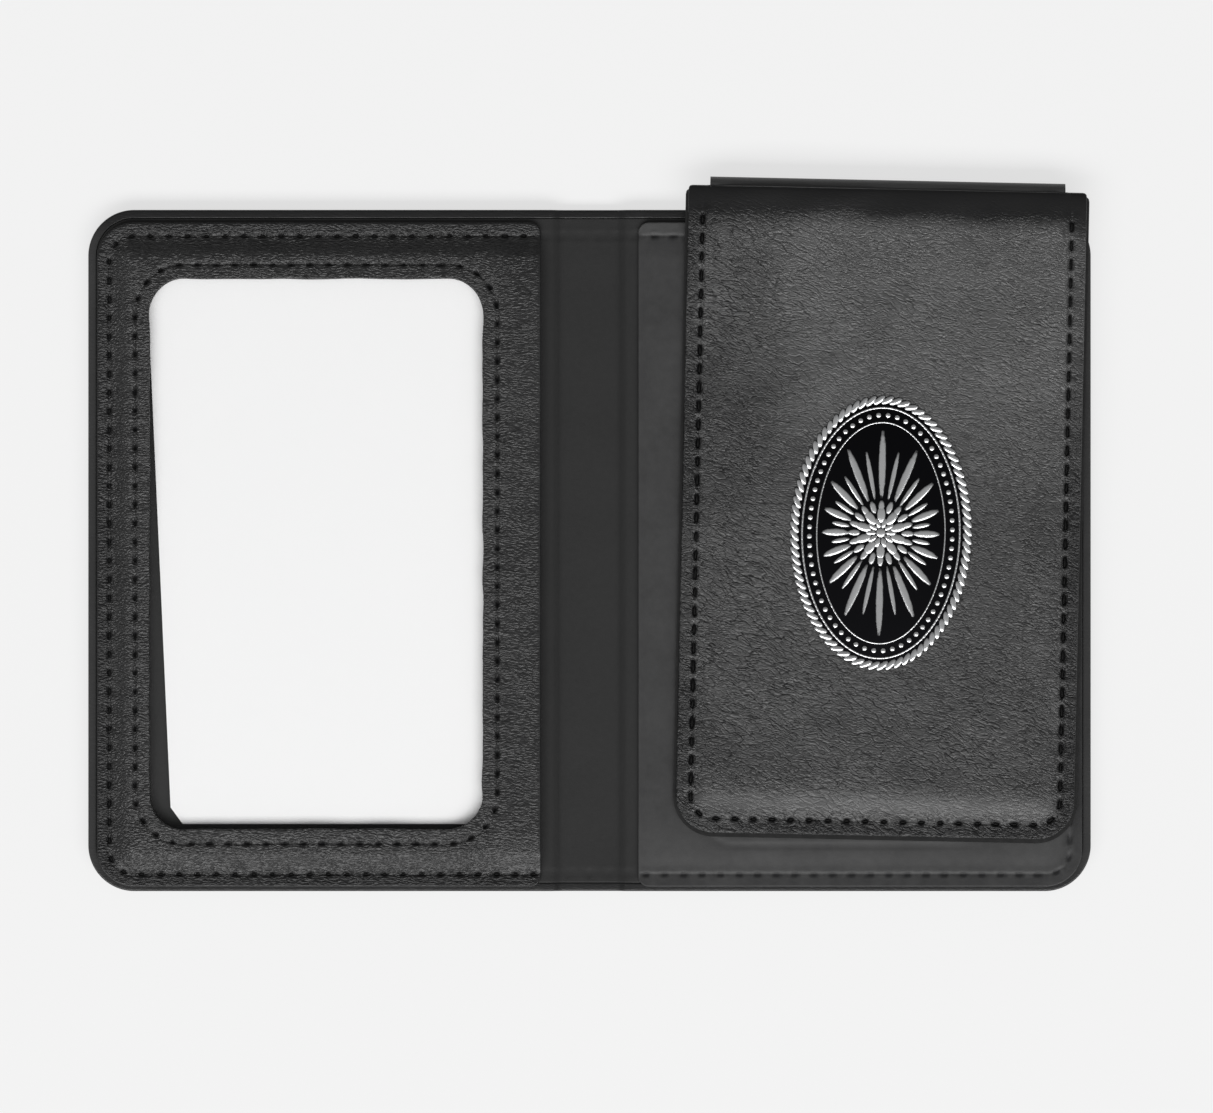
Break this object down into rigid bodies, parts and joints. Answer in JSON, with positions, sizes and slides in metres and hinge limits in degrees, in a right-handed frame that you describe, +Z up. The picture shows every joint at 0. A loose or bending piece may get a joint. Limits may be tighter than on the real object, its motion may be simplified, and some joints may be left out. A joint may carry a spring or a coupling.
{
  "type": "id card wallet",
  "caption": "Bifold leather identity-card wallet, lying open: a stitched clear window pocket on the left, a slip pocket under a hinged badge flap on the right.",
  "frame": {"origin": "under the middle of the spine, on the flat outer face of the cover, with the wallet lying open", "axes": "+X from the window half to the flap half, +Y to the edge that carries the flap, +Z up out of the open wallet"},
  "size_m": [0.1504, 0.1072, 0.0056],
  "materials": {
    "cover_leather": "black pebble-grained, satin",
    "smooth_leather": "black smooth, dull",
    "grained_leather": "black fine-grained, satin",
    "flap_leather": "black creased grain, satin",
    "greyboard": "raw",
    "clear_vinyl": "clear, glossy",
    "white_card": "matt",
    "silver": "struck, polished",
    "black_thread": "waxed"
  },
  "bodies": {
    "spine": {"cover_spine": "cover_leather", "lining_spine": "smooth_leather", "seam_spine_top": "black_thread", "seam_spine_bottom": "black_thread"},
    "right_cover": {"cover_right": "cover_leather", "board_right": "greyboard", "lining_right": "smooth_leather", "slip_pocket": "smooth_leather", "tongue_root": "cover_leather", "seam_right": "black_thread"},
    "left_cover": {"cover_left": "cover_leather", "board_left": "greyboard", "lining_left": "smooth_leather", "window_frame": "grained_leather", "clear_window": "clear_vinyl", "seam_left": "black_thread", "seam_window": "black_thread"},
    "tongue": {"tongue_bend": "cover_leather"},
    "flap": {"tongue_top": "cover_leather", "flap_backing": "smooth_leather", "flap_board": "greyboard", "flap_front": "flap_leather", "medallion": "silver", "seam_flap": "black_thread"},
    "card": {"blank_insert": "white_card"}
  },
  "joints": [
    {"name": "fold_right", "type": "hinge", "parent": "spine", "child": "right_cover", "pos_m": [0.0036, 0, 0.0015], "axis": [0, -1, 0], "range_deg": [0, 90]},
    {"name": "fold_left", "type": "hinge", "parent": "spine", "child": "left_cover", "pos_m": [-0.0036, 0, 0.0015], "axis": [0, 1, 0], "range_deg": [0, 90]},
    {"name": "flap_lift", "type": "hinge", "parent": "right_cover", "child": "tongue", "pos_m": [0.04472, 0.0549, 0.00182], "axis": [-0.9998, 0.0209, 0], "range_deg": [0, 90]},
    {"name": "flap_turn", "type": "hinge", "parent": "tongue", "child": "flap", "pos_m": [0.04472, 0.0549, 0.00383], "axis": [-0.9998, 0.0209, 0], "range_deg": [0, 90]},
    {"name": "card_slide", "type": "slide", "parent": "left_cover", "child": "card", "axis": [1, 0, 0], "range_m": [0, 0.0085]}
  ],
  "couplings": [
    {"joint": "fold_left", "follows": "fold_right", "ratio": 1}
  ]
}
